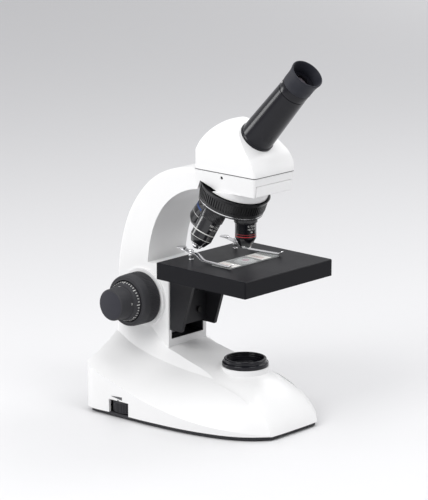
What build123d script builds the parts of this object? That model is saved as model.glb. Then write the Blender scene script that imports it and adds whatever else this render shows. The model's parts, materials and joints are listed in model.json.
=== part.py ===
from build123d import *
import os
from math import atan, cos, pi, radians, sin, sqrt, tan

os.makedirs("parts", exist_ok=True)

# A student microscope with one eyepiece, millimetres, +Z up, the user sits on the -Y side.
# The origin lies on the table under the middle of the whole object.  Heights are above the
# table; depths (y) in this file are measured backwards from the optical axis.

# ---------------------------------------------------------------- driving dimensions
AXIS_Y = -32.559             # the optical axis, in front of the frame's origin

HOUSING_Z = 5.0              # lower edge of the white base housing
PLATE_Z = 1.5                # underside of the black bottom plate
WALL = 3.2                   # wall of the moulded base and of the head
COLUMN_FACE = 84.0           # front face of the column
COLUMN_HALF = 29.5           # half width of column and arm
COLUMN_SEAT_Z = 76.0         # the column stands in the base down to this height
LEDGE_Z = 160.0              # top ledge of the column's front block
CARRIER_BOTTOM = 252.8
CARRIER_TOP = 272.6
CARRIER_HALF = 31.7

KNOB_Y = 120.0               # focus shafts, behind the optical axis
KNOB_Z = 121.0
PINION_R = 6.0               # pitch radius
MODULE = 0.8                 # gear module
TEETH = 15
PRESSURE_ANGLE = 20.0
BACKLASH = 0.80              # tooth thickness over half the pitch

STAGE_TOP = 175.0
STAGE_HALF = 68.5
STAGE_FRONT = -61.3
STAGE_REAR = 64.6
STAGE_SKIRT = 17.75
SLIDE_T = 1.1
CLIP_X = 34.5
CLIP_Y = 46.0

TURRET_TILT = 20.0           # turret axis against the optical axis
SHOULDER_Z = 221.0           # objective shoulder, 45 mm above the specimen
SEAT_R = 23.5                # from turret axis to the middle of an objective's seat
PIVOT_R = 3.95
PIVOT_TOP = 31.0             # along the turret's axis from its apex

HEAD_Z = 273.6
HEAD_HALF = 31.5
PRISM_Z = 293.0              # where the tube's axis meets the optical axis
TUBE_ANGLE = 47.5            # tube's axis above the horizontal

RUN = 0.05                   # radial running clearance of shafts
GAP = 0.3                    # clearance between faces of different bodies

# ---------------------------------------------------------------- derived frames
SEAT_DISTANCE = SEAT_R / sin(radians(TURRET_TILT))
SEAT_LEVEL = SEAT_DISTANCE * cos(radians(TURRET_TILT))
APEX = Vector(0, AXIS_Y, SHOULDER_Z + SEAT_DISTANCE)
TURRET_DOWN = Vector(0, sin(radians(TURRET_TILT)), -cos(radians(TURRET_TILT)))
TURRET_FRONT = Vector(0, -cos(radians(TURRET_TILT)), -sin(radians(TURRET_TILT)))
TURRET_AXIS = Axis(APEX, TURRET_DOWN)
TUBE_DIR = Vector(0, -cos(radians(TUBE_ANGLE)), sin(radians(TUBE_ANGLE)))
TUBE_ROOT = Vector(0, AXIS_Y, PRISM_Z)
TUBE_AXIS = Axis(TUBE_ROOT, TUBE_DIR)
OPTICAL_AXIS = Axis((0, AXIS_Y, 0), (0, 0, 1))
KNOB_AXIS = Axis((0, AXIS_Y + KNOB_Y, KNOB_Z), (1, 0, 0))


def level(z):
    """Horizontal plane; its sketch x and y are right and back from the optical axis."""
    return Plane((0, AXIS_Y, z))


def side(x):
    """Plane across X; its sketch x and y are depth behind the optical axis and height."""
    return Plane(origin=(x, AXIS_Y, 0), x_dir=(0, 1, 0), z_dir=(1, 0, 0))


def front(y):
    """Plane facing the user; its sketch x and y are right and up."""
    return Plane(origin=(0, AXIS_Y + y, 0), x_dir=(1, 0, 0), z_dir=(0, -1, 0))


def knob_plane():
    """Half plane for turned parts of the focus drive: sketch x along the shaft, y radius."""
    return Plane(origin=(0, AXIS_Y + KNOB_Y, KNOB_Z), x_dir=(1, 0, 0), z_dir=(0, -1, 0))


def axial_plane(origin, direction):
    """Half plane for parts turned about a slanted axis: sketch x radius, y along the axis."""
    return Plane(origin=origin, x_dir=(1, 0, 0), z_dir=Vector(1, 0, 0).cross(direction))


TURRET = axial_plane(APEX, TURRET_DOWN)
TUBE = axial_plane(TUBE_ROOT, TUBE_DIR)
OPTICAL = axial_plane((0, AXIS_Y, 0), Vector(0, 0, 1))


def save(piece, name):
    """Label a finished sub-part and write it as a STEP file."""
    piece.part.label = name
    export_step(piece.part, f"parts/{name}.step")


def lens(origin, direction, radius, edge, crown):
    """Plano-convex lens: its flat side at the origin, its crown in the given direction."""
    ball = (radius ** 2 + crown ** 2) / (2 * crown)
    flat = Plane(origin=origin, z_dir=direction)
    with BuildPart() as glass:
        with BuildSketch(flat):
            Circle(radius)
        extrude(amount=edge + crown)
        with Locations(flat * Location((0, 0, edge + crown - ball))):
            Sphere(ball, mode=Mode.INTERSECT)
    return glass.part


def turned(plane, axis, outline):
    """Solid of revolution from a closed (radius, height) outline."""
    with BuildPart() as body:
        with BuildSketch(plane):
            with BuildLine():
                Polyline(*outline, close=True)
            make_face()
        revolve(axis=axis)
    return body.part


# ---------------------------------------------------------------- base
# One row per cross-section: depth, half width, height of the upright wall, then the upper
# edge of the flank (x, z) and the top of the steep band that runs up to deck or column.
BASE_SECTIONS = [
    (-71.0, 35.5, 7.0, 34.8, 10.0, 26.5, 20.0, 0.3),
    (-61.0, 46.0, 6.8, 35.2, 20.0, 21.0, 37.0, 0.6),
    (-46.0, 59.0, 9.5, 36.0, 33.0, 17.0, 52.0, 2.0),
    (-22.0, 70.5, 12.0, 36.3, 45.0, 14.0, 65.0, 2.4),
    (6.0, 78.4, 15.0, 36.5, 50.5, 19.0, 68.0, 2.0),
    (32.0, 83.0, 19.0, 37.0, 52.5, 23.0, 70.0, 1.0),
    (60.0, 86.0, 24.5, 38.0, 54.5, 26.0, 71.0, 0.4),
    (88.0, 87.6, 32.0, 39.0, 58.5, 28.9, 74.0, -1.0),
    (118.0, 88.8, 41.5, 39.6, 65.0, 29.0, 98.0, -1.5),
    (143.0, 89.6, 50.5, 39.6, 75.0, 28.6, 114.0, -1.5),
    (153.0, 84.0, 54.5, 38.4, 79.5, 28.4, 118.0, -1.5),
]
BASE_MIDDLE = 41.0           # depth about which the inner cavity is drawn in
BASE_REACH = 112.0
# Middle line of the deck from the column's foot to the toe: depth, height, fall at x = 30.
DECK = [(84, 71.5, 1.5), (62, 66.5, 1.8), (42, 63.0, 2.5), (22, 61.3, 4.5), (0, 60.4, 7.5), (-18, 57.9, 8.8),
        (-28, 54.6, 8.3), (-37, 49.4, 6.8), (-48, 39.8, 4.5), (-60, 26.2, 3.0), (-68, 13.6, 2.5),
        (-71.5, 3.0, 2.0)]
DECK_STATIONS = (-40, -28, -15, 0, 15, 28, 40)


def base_section(row, inset):
    """Cross-section of the base at one depth, drawn in by the inset."""
    y, w, wall, sx, sz, rx, rz, bulge = row
    y = BASE_MIDDLE + (y - BASE_MIDDLE) * (BASE_REACH - inset) / BASE_REACH
    w, wall, sx, sz, rx, rz = w - inset, wall - inset / 3, sx - inset, sz - inset, rx - inset, rz - inset
    bottom = HOUSING_Z - inset
    middle = ((w + sx) / 2 + bulge / 2, (wall + sz) / 2 + bulge)
    with BuildSketch(front(y)) as section:
        with BuildLine():
            Polyline((-w, wall), (-w, bottom), (w, bottom), (w, wall))
            ThreePointArc((w, wall), middle, (sx, sz))
            Polyline((sx, sz), (rx, rz), (-rx, rz), (-sx, sz))
            ThreePointArc((-sx, sz), (-middle[0], middle[1]), (-w, wall))
        make_face()
    return section.sketch


def deck_cutter(inset):
    """Space above the deck, from the toe back to the column's face."""
    with BuildPart() as cutter:
        for x in DECK_STATIONS:
            with BuildSketch(side(x)):
                with BuildLine():
                    points = [(y + (inset if y < 0 else 0), z - inset - fall * (abs(x) / 30) ** 2.5)
                              for y, z, fall in DECK]
                    Spline(*points)
                    Polyline(points[-1], (-95, points[-1][1]), (-95, 140), (COLUMN_FACE, 140), points[0])
                make_face()
        loft()
    return cutter.part


def base_block(inset):
    """Solid block with the outer form of the base, drawn in by the inset."""
    with BuildPart() as block:
        loft([base_section(row, inset) for row in BASE_SECTIONS])
        add(deck_cutter(inset), mode=Mode.SUBTRACT)
        with BuildSketch(level(COLUMN_SEAT_Z - inset)):
            with Locations((0, COLUMN_FACE - inset + 50)):
                Rectangle(2 * (COLUMN_HALF + inset), 100)
        extrude(amount=80, mode=Mode.SUBTRACT)
    return block.part


base_form = base_block(0)
base_cavity = base_block(WALL)

COLLAR_SEAT_Z = 61.5
COLLAR_R = 24.8
LAMP_HOLE_R = 19.0
DIMMER_Y = 102.5
DIMMER_X = -69.5
DIMMER_R = 19.0
INLET_X = 45.0
INLET_Z = 26.0
INLET_R = 5.5
SCREW_SPOTS = [(-58, 30), (58, 30), (-66, 139), (66, 139)]

with BuildPart() as screw_bosses:
    with BuildSketch(level(HOUSING_Z)):
        with Locations(*SCREW_SPOTS):
            Circle(4.0)
    extrude(amount=90)
    add(base_form, mode=Mode.INTERSECT)

with BuildPart() as base_housing:
    add(base_form)
    with BuildSketch(level(COLLAR_SEAT_Z - 12)):
        Circle(COLLAR_R + 0.6)
    extrude(amount=12)
    add(base_cavity, mode=Mode.SUBTRACT)
    add(screw_bosses.part)
    with BuildSketch(level(30)):
        Circle(LAMP_HOLE_R)
    extrude(amount=40, mode=Mode.SUBTRACT)
    with BuildSketch(level(COLLAR_SEAT_Z)):
        Circle(COLLAR_R + 0.2)
    extrude(amount=10, mode=Mode.SUBTRACT)
    with BuildSketch(level(HOUSING_Z)):
        with Locations(*SCREW_SPOTS):
            Circle(1.5)
    extrude(amount=9, mode=Mode.SUBTRACT)
    # window of the brightness wheel, open to the lower edge
    with BuildSketch(level(HOUSING_Z)):
        with Locations((-84, DIMMER_Y)):
            Rectangle(20, 28)
    extrude(amount=14.6, mode=Mode.SUBTRACT)
    with BuildSketch(front(140)):
        with Locations((INLET_X, INLET_Z)):
            Circle(INLET_R + RUN)
    extrude(amount=-20, mode=Mode.SUBTRACT)
save(base_housing, "base_housing")

with BuildPart() as bottom_plate:
    with BuildSketch(level(PLATE_Z)):
        with BuildLine():
            right = [(row[1] - 2.2, row[0]) for row in BASE_SECTIONS[1:-1]]
            left = [(-x, y) for x, y in reversed(right)]
            Spline(*right)
            Polyline(right[-1], (79, 150.5), (-79, 150.5), left[0])
            Spline(*left)
            Polyline(left[-1], (-34, -68.5), (34, -68.5), right[0])
        make_face()
    extrude(amount=HOUSING_Z - PLATE_Z)
    # posts that carry the control board
    with BuildSketch(level(HOUSING_Z)):
        with Locations((-46, 84), (-46, 122)):
            Circle(3.0)
    extrude(amount=19.9)
    with Locations(*[(x, AXIS_Y + y, PLATE_Z) for x, y in SCREW_SPOTS]):
        Cylinder(2.9, 1.8, align=(Align.CENTER, Align.CENTER, Align.MIN), mode=Mode.SUBTRACT)
        Cylinder(1.6, 4, align=(Align.CENTER, Align.CENTER, Align.MIN), mode=Mode.SUBTRACT)
save(bottom_plate, "bottom_plate")

with BuildPart() as base_screws:
    with Locations(*[(x, AXIS_Y + y, PLATE_Z + 0.1) for x, y in SCREW_SPOTS]):
        Cylinder(2.8, 1.6, align=(Align.CENTER, Align.CENTER, Align.MIN))
        Cylinder(1.45, 11, align=(Align.CENTER, Align.CENTER, Align.MIN))
save(base_screws, "base_screws")

FOOT_SPOTS = [(-36, -46), (36, -46), (-68, 118), (68, 118)]
with BuildPart() as feet:
    with BuildSketch(level(0)):
        with Locations(*FOOT_SPOTS):
            Circle(9)
    extrude(amount=PLATE_Z, taper=-8)
save(feet, "feet")

# ---------------------------------------------------------------- lamp in the base
with BuildPart() as illuminator_collar:
    add(turned(OPTICAL, OPTICAL_AXIS, [(20.0, 70.0), (22.0, 70.0), (22.6, 69.4), (22.6, 66.6), (24.2, 66.2),
                               (24.8, 65.5), (24.8, COLLAR_SEAT_Z), (18.8, COLLAR_SEAT_Z), (18.8, 56.0),
                               (15.0, 56.0), (15.0, 59.0), (16.5, 59.0), (16.5, 64.5), (20.0, 64.5)]))
save(illuminator_collar, "illuminator_collar")

with BuildPart() as field_lens:
    add(lens((0, AXIS_Y, 59.2), (0, 0, 1), 16.3, 2.0, 2.8))
save(field_lens, "field_lens")

with BuildPart() as lamp_holder:
    add(turned(OPTICAL, OPTICAL_AXIS, [(13, HOUSING_Z), (17, HOUSING_Z), (17, 50), (15.4, 50), (15.4, 28),
                                       (13, 28)]))
save(lamp_holder, "lamp_holder")

with BuildPart() as led_board:
    add(turned(OPTICAL, OPTICAL_AXIS, [(0, 28), (15.3, 28), (15.3, 29.6), (4, 29.6), (4, 30.6), (2.5, 32.4),
                                       (0, 33.0)]))
save(led_board, "led_board")

with BuildPart() as collector_lens:
    add(lens((0, AXIS_Y, 38), (0, 0, 1), 15.3, 2.0, 6.5))
save(collector_lens, "collector_lens")

with BuildPart() as dimmer_wheel:
    with BuildSketch(level(HOUSING_Z + 1.4)):
        with Locations((DIMMER_X, DIMMER_Y)):
            Circle(DIMMER_R)
    extrude(amount=12)
    chamfer(dimmer_wheel.edges().filter_by(GeomType.CIRCLE), 0.8)
    with Locations((DIMMER_X, AXIS_Y + DIMMER_Y, 10)):
        Cylinder(3.0, 12, align=(Align.CENTER, Align.CENTER, Align.MIN), mode=Mode.SUBTRACT)
save(dimmer_wheel, "dimmer_wheel")

with BuildPart() as dimmer_board:
    with BuildSketch(level(24.9)):
        with Locations((-55, DIMMER_Y)):
            Rectangle(34, 48)
    extrude(amount=1.6)
    with Locations((DIMMER_X + 3, AXIS_Y + DIMMER_Y, 18.8)):
        Cylinder(7.5, 6.1, align=(Align.CENTER, Align.CENTER, Align.MIN))
    with Locations((DIMMER_X, AXIS_Y + DIMMER_Y, 10.4)):
        Cylinder(3.0 - RUN, 10, align=(Align.CENTER, Align.CENTER, Align.MIN))
save(dimmer_board, "dimmer_board")

with BuildPart() as power_inlet:
    with BuildSketch(front(152.8)):
        with Locations((INLET_X, INLET_Z)):
            Circle(INLET_R)
            Circle(2.75, mode=Mode.SUBTRACT)
            Circle(0.95)
    extrude(amount=11)
    with BuildSketch(front(141.8)):
        with Locations((INLET_X, INLET_Z)):
            Rectangle(14, 12)
    extrude(amount=5)
save(power_inlet, "power_inlet")

# ---------------------------------------------------------------- arm
ARM_INNER = [(115.0, LEDGE_Z), (111.5, 182.0), (103.0, 206.5), (87.5, 228.5), (66.0, 243.6), (44.0, 250.6)]
ARM_OUTER = [(50.0, CARRIER_TOP - 0.6), (82.5, 266.2), (109.0, 253.4), (130.0, 233.3), (147.0, 206.3),
             (157.8, 172.0), (161.4, 142.8), (159.4, 120.0), (155.6, 99.0), (152.2, 80.0)]
CARRIER_FRONT = -40.0
POCKET_R = 39.2
RING_TOP = 40.7              # along the turret's axis from its apex
OPENING_HALF = 25.0
OPENING_BACK = 112.0
OPENING_Z = (79.0, 152.0)
RACK_X = (12.5, 18.5)
RAIL_Z = (80.5, 150.5)

with BuildPart() as carrier:
    with BuildSketch(level(CARRIER_TOP)):
        with Locations((0, (CARRIER_FRONT + 46) / 2)):
            RectangleRounded(2 * CARRIER_HALF, 46 - CARRIER_FRONT, 3.5)
    extrude(amount=-(CARRIER_TOP - CARRIER_BOTTOM), taper=7.5)

with BuildPart() as arm:
    with BuildSketch(side(0)):
        with BuildLine():
            Polyline(ARM_OUTER[-1], (150, 55), (COLUMN_FACE, 55), (COLUMN_FACE, LEDGE_Z), ARM_INNER[0])
            Spline(*ARM_INNER)
            Polyline(ARM_INNER[-1], (30, CARRIER_BOTTOM), (-20, CARRIER_BOTTOM), (-20, CARRIER_TOP - 0.6),
                     ARM_OUTER[0])
            Spline(*ARM_OUTER)
        make_face()
    extrude(amount=COLUMN_HALF, both=True)
    curved = [e for e in arm.edges().filter_by(GeomType.BSPLINE) if abs(e.center().X) > 1]
    fillet([e for e in curved if e.length > 200], 5)
    add(carrier.part)
    # round bosses of the focus knobs
    with BuildSketch(side(0)):
        with Locations((KNOB_Y, KNOB_Z)):
            Circle(31.5)
    extrude(amount=33, both=True)
    add(base_form, mode=Mode.SUBTRACT)
    # carriage opening, slot of the rack, pinion pocket, shaft bore and bush seats
    with BuildSketch(level(OPENING_Z[0])):
        with Locations((0, (COLUMN_FACE + OPENING_BACK) / 2)):
            Rectangle(2 * OPENING_HALF, OPENING_BACK - COLUMN_FACE)
        with Locations((15.5, OPENING_BACK)):
            Rectangle(8, 8)
    extrude(amount=OPENING_Z[1] - OPENING_Z[0], mode=Mode.SUBTRACT)
    with BuildSketch(side(11.5)):
        with Locations((KNOB_Y, KNOB_Z)):
            Circle(8)
    extrude(amount=8, mode=Mode.SUBTRACT)
    with BuildSketch(side(0)):
        with Locations((KNOB_Y, KNOB_Z)):
            Circle(5.6)
    extrude(amount=40, both=True, mode=Mode.SUBTRACT)
    for x, way in ((21, 1), (-21, -1)):
        with BuildSketch(side(x)):
            with Locations((KNOB_Y, KNOB_Z)):
                Circle(8)
        extrude(amount=20 * way, mode=Mode.SUBTRACT)
    # pocket that the turret turns in, receiver pocket, light path, set screw
    add(turned(TURRET, TURRET_AXIS, [(0, PIVOT_TOP), (PIVOT_R, PIVOT_TOP), (PIVOT_R, RING_TOP - 1.2),
                                     (POCKET_R, RING_TOP - 1.2), (POCKET_R, 75), (0, 75)]), mode=Mode.SUBTRACT)
    with BuildSketch(level(265)):
        Circle(22.5)
    extrude(amount=10, mode=Mode.SUBTRACT)
    with BuildSketch(level(240)):
        Circle(12)
    extrude(amount=30, mode=Mode.SUBTRACT)
    with BuildSketch(side(-40)):
        with Locations((5.7, 268.3)):
            Circle(1.7)
    extrude(amount=25, mode=Mode.SUBTRACT)
    # recess of the nose cover
    with BuildSketch(front(CARRIER_FRONT - 2)):
        with Locations((0, 259)):
            Rectangle(54, 11)
    extrude(amount=-5.2, mode=Mode.SUBTRACT)
save(arm, "arm")

with BuildPart() as nose_cover:
    with BuildSketch(front(CARRIER_FRONT + 3.2)):
        with Locations((0, 259)):
            RectangleRounded(53.4, 10.4, 1.0)
    extrude(amount=2.6)
save(nose_cover, "nose_cover")

with BuildPart() as dovetail_receiver:
    add(turned(OPTICAL, OPTICAL_AXIS, [(12.5, 265), (22.5, 265), (22.5, 272.4), (20.3, 272.4), (20.3, 266.8),
                                       (12.5, 266.8)]))
    with BuildSketch(side(-25)):
        with Locations((5.7, 268.3)):
            Circle(1.7)
    extrude(amount=10, mode=Mode.SUBTRACT)
save(dovetail_receiver, "dovetail_receiver")

with BuildPart() as head_lock_screw:
    with BuildSketch(side(-30.6)):
        with Locations((5.7, 268.3)):
            Circle(1.6)
    extrude(amount=10.2)
    with BuildSketch(side(-30.6)):
        with Locations((5.7, 268.3)):
            RegularPolygon(0.9, 6)
    extrude(amount=2, mode=Mode.SUBTRACT)
save(head_lock_screw, "head_lock_screw")

with BuildPart() as guide_rail:
    with BuildSketch(level(RAIL_Z[0])):
        with BuildLine():
            Polyline((-7, OPENING_BACK), (7, OPENING_BACK), (10, 98), (-10, 98), close=True)
        make_face()
    extrude(amount=RAIL_Z[1] - RAIL_Z[0])
save(guide_rail, "guide_rail")

with BuildPart() as shaft_bushes:
    for x, way in ((21, 1), (-21, -1)):
        with BuildSketch(side(x)):
            with Locations((KNOB_Y, KNOB_Z)):
                Circle(8)
                Circle(5 + RUN, mode=Mode.SUBTRACT)
        extrude(amount=12 * way)
save(shaft_bushes, "shaft_bushes")

# ---------------------------------------------------------------- focus drive
def involute_gear():
    """Outline of the pinion, standing with a tooth space towards the rack."""
    base_r = PINION_R * cos(radians(PRESSURE_ANGLE))
    tip_r = PINION_R + MODULE
    root_r = PINION_R - 1.2 * MODULE
    half_tooth = pi / (2 * TEETH) * BACKLASH
    inv_pitch = tan(radians(PRESSURE_ANGLE)) - radians(PRESSURE_ANGLE)
    flank = []
    for i in range(5):
        r = base_r + (tip_r - base_r) * i / 4
        roll = sqrt(max(0, (r / base_r) ** 2 - 1))
        flank.append((r, half_tooth + inv_pitch - (roll - atan(roll))))
    outline = []
    for k in range(TEETH):
        middle = pi + pi / TEETH + 2 * pi * k / TEETH
        outline.append((root_r, middle - flank[0][1]))
        outline += [(r, middle - a) for r, a in flank]
        outline += [(r, middle + a) for r, a in reversed(flank)]
        outline.append((root_r, middle + flank[0][1]))
    return [(r * cos(a), r * sin(a)) for r, a in outline]


with BuildPart() as pinion_shaft:
    with BuildSketch(side(0)):
        with Locations((KNOB_Y, KNOB_Z)):
            Circle(5)
    extrude(amount=46, both=True)
    with BuildSketch(Plane(origin=(RACK_X[0], AXIS_Y + KNOB_Y, KNOB_Z), x_dir=(0, 1, 0), z_dir=(1, 0, 0))):
        with BuildLine():
            Polyline(*involute_gear(), close=True)
        make_face()
    extrude(amount=RACK_X[1] - RACK_X[0])
    with BuildSketch(side(0)):
        with Locations((KNOB_Y, KNOB_Z)):
            Circle(3 + RUN)
    extrude(amount=50, both=True, mode=Mode.SUBTRACT)
save(pinion_shaft, "pinion_shaft")

for name, way in (("coarse_knob_left", -1), ("coarse_knob_right", 1)):
    with BuildPart() as coarse_knob:
        with BuildSketch(knob_plane()):
            with BuildLine():
                outline = [(33.6, 5.0), (33.6, 27.6), (34.4, 28.5), (48, 28.3), (56.2, 27.6), (57.6, 26.2),
                           (57.6, 22.8), (52.5, 22.4), (52.5, 14.0), (46, 14.0), (46, 5.0)]
                Polyline(*[(way * x, r) for x, r in outline], close=True)
            make_face()
        revolve(axis=KNOB_AXIS)
    save(coarse_knob, name)

with BuildPart() as fine_shaft:
    with BuildSketch(side(0)):
        with Locations((KNOB_Y, KNOB_Z)):
            Circle(3)
    extrude(amount=74, both=True)
save(fine_shaft, "fine_shaft")

for name, way in (("fine_knob_left", -1), ("fine_knob_right", 1)):
    with BuildPart() as fine_knob:
        with BuildSketch(knob_plane()):
            with BuildLine():
                outline = [(53.2, 3.0), (53.2, 21.6), (58.0, 21.6), (63.4, 19.8), (64.2, 17.8), (80.2, 17.2),
                           (81.5, 16.0), (81.5, 0), (74.0, 0), (74.0, 3.0)]
                Polyline(*[(way * x, r) for x, r in outline], close=True)
            make_face()
        revolve(axis=KNOB_AXIS)
    save(fine_knob, name)

# ---------------------------------------------------------------- stage and its carriage
with BuildPart() as stage_plate:
    with BuildSketch(level(STAGE_TOP - STAGE_SKIRT)):
        with Locations((0, (STAGE_FRONT + STAGE_REAR) / 2)):
            RectangleRounded(2 * STAGE_HALF, STAGE_REAR - STAGE_FRONT, 1.5)
    extrude(amount=STAGE_SKIRT)
    top_rim = stage_plate.faces().sort_by(Axis.Z)[-1].edges()
    chamfer(top_rim, 0.7)
    with BuildSketch(level(STAGE_TOP - STAGE_SKIRT)):
        with Locations((0, (STAGE_FRONT + STAGE_REAR) / 2)):
            Rectangle(2 * STAGE_HALF - 6, STAGE_REAR - STAGE_FRONT - 6)
    extrude(amount=STAGE_SKIRT - 4, mode=Mode.SUBTRACT)
    with BuildSketch(level(STAGE_TOP - 6)):
        Circle(12)
        with Locations((-CLIP_X, CLIP_Y), (CLIP_X, CLIP_Y)):
            Circle(2 + RUN)
    extrude(amount=8, mode=Mode.SUBTRACT)
save(stage_plate, "stage_plate")

BRACKET_REAR = COLUMN_FACE - 0.4
with BuildPart() as stage_bracket:
    for x, way in ((23.8, 1), (-23.8, -1)):
        with BuildSketch(side(x)):
            with BuildLine():
                Polyline((BRACKET_REAR, 90), (67, 90), (46, 157), (41, 171), (61.2, 171), (61.2, 156.9),
                         (BRACKET_REAR, 156.9), close=True)
            make_face()
        extrude(amount=4 * way)
    with BuildSketch(level(93)):
        with Locations((0, 81.5)):
            Rectangle(47.6, 4.2)
    extrude(amount=63.9)
    with BuildSketch(level(167)):
        with Locations((0, 51.1)):
            Rectangle(47.6, 20.2)
    extrude(amount=4)
save(stage_bracket, "stage_bracket")

with BuildPart() as stage_carriage:
    with BuildSketch(level(96)):
        with Locations((0, 95.75)):
            Rectangle(40, 15.5)
        with Locations((0, 86.0)):
            Rectangle(34, 4.8)
        with BuildLine():
            Polyline((-8.9, 104), (8.9, 104), (10.15, 97.85), (-10.15, 97.85), close=True)
        make_face(mode=Mode.SUBTRACT)
    extrude(amount=44)
save(stage_carriage, "stage_carriage")

PITCH = pi * MODULE
RACK_LINE = KNOB_Y - PINION_R
RACK_Z = (KNOB_Z - 9.5 * PITCH, KNOB_Z + 7.5 * PITCH)
with BuildPart() as focus_rack:
    with BuildSketch(side(RACK_X[0])):
        with BuildLine():
            slope = tan(radians(PRESSURE_ANGLE))
            thick = PITCH / 4 * BACKLASH
            outline = [(103.5, RACK_Z[0]), (RACK_LINE - 1.2 * MODULE, RACK_Z[0])]
            for k in range(-9, 8):
                z = KNOB_Z + k * PITCH
                wide = thick + 1.2 * MODULE * slope
                narrow = thick - 0.8 * MODULE * slope
                outline += [(RACK_LINE - 1.2 * MODULE, z - wide), (RACK_LINE + 0.8 * MODULE, z - narrow),
                            (RACK_LINE + 0.8 * MODULE, z + narrow), (RACK_LINE - 1.2 * MODULE, z + wide)]
            outline += [(RACK_LINE - 1.2 * MODULE, RACK_Z[1]), (103.5, RACK_Z[1])]
            Polyline(*outline, close=True)
        make_face()
    extrude(amount=RACK_X[1] - RACK_X[0])
save(focus_rack, "focus_rack")

with BuildPart() as stage_screws:
    with Locations(*[(x, AXIS_Y + 51, 164.6) for x in (-16, 16)]):
        Cylinder(3.2, 2.4, align=(Align.CENTER, Align.CENTER, Align.MIN))
    with Locations(*[(x, AXIS_Y + 78.9, z) for x in (-12, 12) for z in (106, 130)]):
        Cylinder(3.0, 2.4, rotation=(90, 0, 0), align=(Align.CENTER, Align.CENTER, Align.MIN))
save(stage_screws, "stage_screws")

with BuildPart() as condenser_mount:
    add(turned(OPTICAL, OPTICAL_AXIS, [(9.0, 160.4), (16.0, 160.4), (16.0, 171.0), (12.2, 171.0), (12.2, 162.4),
                                       (9.0, 162.4)]))
save(condenser_mount, "condenser_mount")

with BuildPart() as condenser_lens:
    add(lens((0, AXIS_Y, 162.6), (0, 0, 1), 12.0, 2.0, 5.4))
save(condenser_lens, "condenser_lens")

DISC_Y = -18.0
with BuildPart() as aperture_disc:
    with BuildSketch(level(159.0)):
        with Locations((0, DISC_Y)):
            Circle(27)
            Circle(2 + RUN, mode=Mode.SUBTRACT)
            for k, r in enumerate((6.0, 4.6, 3.3, 2.2, 1.3)):
                with Locations((18 * sin(2 * pi * k / 5), 18 * cos(2 * pi * k / 5))):
                    Circle(r, mode=Mode.SUBTRACT)
    extrude(amount=1.0)
save(aperture_disc, "aperture_disc")

with BuildPart() as disc_screw:
    with Locations((0, AXIS_Y + DISC_Y, 157.6)):
        Cylinder(4.2, 1.1, align=(Align.CENTER, Align.CENTER, Align.MIN))
        Cylinder(2.0, 13.4, align=(Align.CENTER, Align.CENTER, Align.MIN))
save(disc_screw, "disc_screw")

with BuildPart() as specimen_slide:
    with BuildSketch(level(STAGE_TOP)):
        Rectangle(76, 26)
    extrude(amount=SLIDE_T)
save(specimen_slide, "specimen_slide")

with BuildPart() as cover_glass:
    with BuildSketch(level(STAGE_TOP + SLIDE_T)):
        Circle(9)
    extrude(amount=0.2)
save(cover_glass, "cover_glass")


def stage_clip(name, x, swing):
    """Spring clip: a post in the stage, an arm over the slide and a thumb pad."""
    post = Vector(x, AXIS_Y + CLIP_Y, STAGE_TOP)
    a = radians(swing)
    along = Plane(origin=post, x_dir=(-sin(a), cos(a), 0), z_dir=(cos(a), sin(a), 0))
    with BuildPart() as clip:
        with Locations(post):
            Cylinder(2.0, 3.8, align=(Align.CENTER, Align.CENTER, Align.MAX))
        with Locations(post + Vector(0, 0, GAP)):
            Cylinder(2.6, 10.7, align=(Align.CENTER, Align.CENTER, Align.MIN))
            Cylinder(2.0, 0.6, align=(Align.CENTER, Align.CENTER, Align.MAX))
        with BuildSketch(along):
            with BuildLine():
                FilletPolyline((12, 10.5), (0, 8.0), (-8, 8.0), (-18, 2.0), (-56, 2.0), (-61, 5.0), radius=3)
            trace(line_width=1.0)
        extrude(amount=3.6, both=True)
        with Locations(along * Location((14, 11.4, 0), (90, 0, 0))):
            Cylinder(5.5, 1.2)
    save(clip, name)


stage_clip("stage_clip_left", -CLIP_X, -2)
stage_clip("stage_clip_right", CLIP_X, 7)

# ---------------------------------------------------------------- nosepiece and objectives
with BuildPart() as nosepiece_base:
    add(turned(TURRET, TURRET_AXIS, [(0, 5), (34.5, 5), (34.5, 40.2), (0, 40.2)]))
    with BuildSketch(level(CARRIER_BOTTOM)):
        Rectangle(200, 200)
    extrude(amount=80, mode=Mode.SUBTRACT)
    with BuildSketch(level(210)):
        Circle(11)
    extrude(amount=60, mode=Mode.SUBTRACT)
    add(turned(TURRET, TURRET_AXIS, [(0, 25), (PIVOT_R, 25), (PIVOT_R, 50), (0, 50)]), mode=Mode.SUBTRACT)
save(nosepiece_base, "nosepiece_base")

with BuildPart() as turret_pivot:
    add(turned(TURRET, TURRET_AXIS, [(0, PIVOT_TOP), (PIVOT_R, PIVOT_TOP), (PIVOT_R, 66.6), (8.0, 66.6),
                                     (8.0, 69.0), (6.5, 70.2), (0, 70.2)]))
save(turret_pivot, "turret_pivot")

with BuildPart() as detent_spring:
    with BuildSketch(TURRET.offset(-3)):
        with BuildLine():
            Polyline((13, 40.3), (20, 40.3), (28, 43.2), (28, 43.9), (19.8, 41.0), (13, 41.0), close=True)
        make_face()
    extrude(amount=6)
    with Locations(APEX + TURRET_DOWN * 44.6 + Vector(1, 0, 0) * 27):
        Sphere(1.5)
save(detent_spring, "detent_spring")

with BuildPart() as turret_ring:
    add(turned(TURRET, TURRET_AXIS, [(33.6, 42.2), (36.0, RING_TOP + 0.8), (37.7, RING_TOP), (36.4, 45.5),
                                     (35.9, 56.5), (35.2, 58.8), (33.6, 58.8)]))
save(turret_ring, "turret_ring")


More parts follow.
